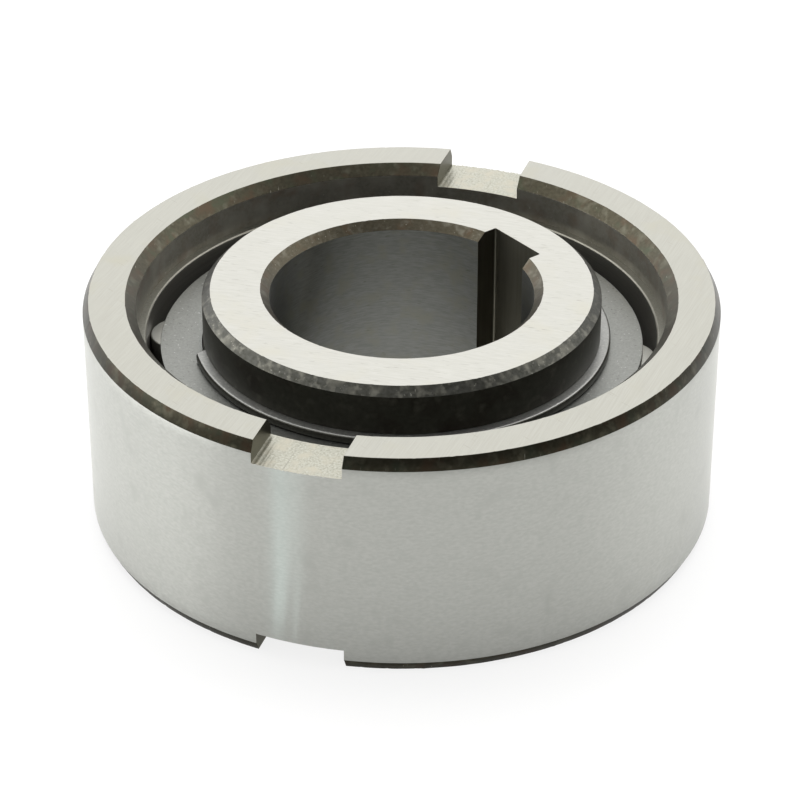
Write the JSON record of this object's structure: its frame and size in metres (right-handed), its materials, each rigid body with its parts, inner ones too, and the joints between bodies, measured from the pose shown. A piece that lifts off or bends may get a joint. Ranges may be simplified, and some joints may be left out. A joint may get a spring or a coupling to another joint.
{
  "type": "one-way clutch bearing",
  "caption": "Keyed roller freewheel: a slotted outer ring runs free one way round a cam inner ring and is locked the other way by sprung rollers.",
  "frame": {"origin": "on the bore axis at the lower end face of the outer ring", "axes": "+Z along the bore axis, the driving slots of the outer ring along Y"},
  "size_m": [0.072, 0.072, 0.0275],
  "materials": {
    "ground_steel": "ground and hardened, chamfers dark from heat treatment",
    "cam_steel": "ground end faces and bore, dark hub from heat treatment",
    "tumbled_plate": "matt tumbled sheet",
    "snap_ring_steel": "oiled spring steel",
    "roller_steel": "superfinished bearing steel",
    "plunger_steel": "hardened pin",
    "spring_steel": "spring wire"
  },
  "bodies": {
    "outer_ring": {"outer_ring": "ground_steel"},
    "inner_assembly": {"inner_ring": "cam_steel", "upper_side_plate": "tumbled_plate", "lower_side_plate": "tumbled_plate", "upper_snap_ring": "snap_ring_steel", "lower_snap_ring": "snap_ring_steel", "spring_1": "spring_steel", "spring_2": "spring_steel", "spring_3": "spring_steel", "spring_4": "spring_steel", "spring_5": "spring_steel", "spring_6": "spring_steel"},
    "plunger_1": {"plunger_1": "plunger_steel"},
    "roller_1": {"roller_1": "roller_steel"},
    "plunger_2": {"plunger_2": "plunger_steel"},
    "roller_2": {"roller_2": "roller_steel"},
    "plunger_3": {"plunger_3": "plunger_steel"},
    "roller_3": {"roller_3": "roller_steel"},
    "plunger_4": {"plunger_4": "plunger_steel"},
    "roller_4": {"roller_4": "roller_steel"},
    "plunger_5": {"plunger_5": "plunger_steel"},
    "roller_5": {"roller_5": "roller_steel"},
    "plunger_6": {"plunger_6": "plunger_steel"},
    "roller_6": {"roller_6": "roller_steel"}
  },
  "joints": [
    {"name": "freewheel_spin", "type": "hinge", "parent": "outer_ring", "child": "inner_assembly", "pos_m": [0, 0, 0.01395], "axis": [0, 0, 1], "continuous": true},
    {"name": "plunger_1_slide", "type": "slide", "parent": "inner_assembly", "child": "plunger_1", "axis": [0.0872, -0.9962, 0], "range_m": [0, 0.0012], "stiffness_N_per_m": 500, "springref_m": -0.002, "deforming": ["spring_1"]},
    {"name": "roller_1_spin", "type": "hinge", "parent": "plunger_1", "child": "roller_1", "pos_m": [0.02491, 0.0053, 0.01395], "axis": [0, 0, 1], "continuous": true},
    {"name": "plunger_2_slide", "type": "slide", "parent": "inner_assembly", "child": "plunger_2", "axis": [0.9063, -0.4226, 0], "range_m": [0, 0.0012], "stiffness_N_per_m": 500, "springref_m": -0.002, "deforming": ["spring_2"]},
    {"name": "roller_2_spin", "type": "hinge", "parent": "plunger_2", "child": "roller_2", "pos_m": [0.00787, 0.02422, 0.01395], "axis": [0, 0, 1], "continuous": true},
    {"name": "plunger_3_slide", "type": "slide", "parent": "inner_assembly", "child": "plunger_3", "axis": [0.8192, 0.5736, 0], "range_m": [0, 0.0012], "stiffness_N_per_m": 500, "springref_m": -0.002, "deforming": ["spring_3"]},
    {"name": "roller_3_spin", "type": "hinge", "parent": "plunger_3", "child": "roller_3", "pos_m": [-0.01704, 0.01893, 0.01395], "axis": [0, 0, 1], "continuous": true},
    {"name": "plunger_4_slide", "type": "slide", "parent": "inner_assembly", "child": "plunger_4", "axis": [-0.0872, 0.9962, 0], "range_m": [0, 0.0012], "stiffness_N_per_m": 500, "springref_m": -0.002, "deforming": ["spring_4"]},
    {"name": "roller_4_spin", "type": "hinge", "parent": "plunger_4", "child": "roller_4", "pos_m": [-0.02491, -0.0053, 0.01395], "axis": [0, 0, 1], "continuous": true},
    {"name": "plunger_5_slide", "type": "slide", "parent": "inner_assembly", "child": "plunger_5", "axis": [-0.9063, 0.4226, 0], "range_m": [0, 0.0012], "stiffness_N_per_m": 500, "springref_m": -0.002, "deforming": ["spring_5"]},
    {"name": "roller_5_spin", "type": "hinge", "parent": "plunger_5", "child": "roller_5", "pos_m": [-0.00787, -0.02422, 0.01395], "axis": [0, 0, 1], "continuous": true},
    {"name": "plunger_6_slide", "type": "slide", "parent": "inner_assembly", "child": "plunger_6", "axis": [-0.8192, -0.5736, 0], "range_m": [0, 0.0012], "stiffness_N_per_m": 500, "springref_m": -0.002, "deforming": ["spring_6"]},
    {"name": "roller_6_spin", "type": "hinge", "parent": "plunger_6", "child": "roller_6", "pos_m": [0.01704, -0.01893, 0.01395], "axis": [0, 0, 1], "continuous": true}
  ]
}
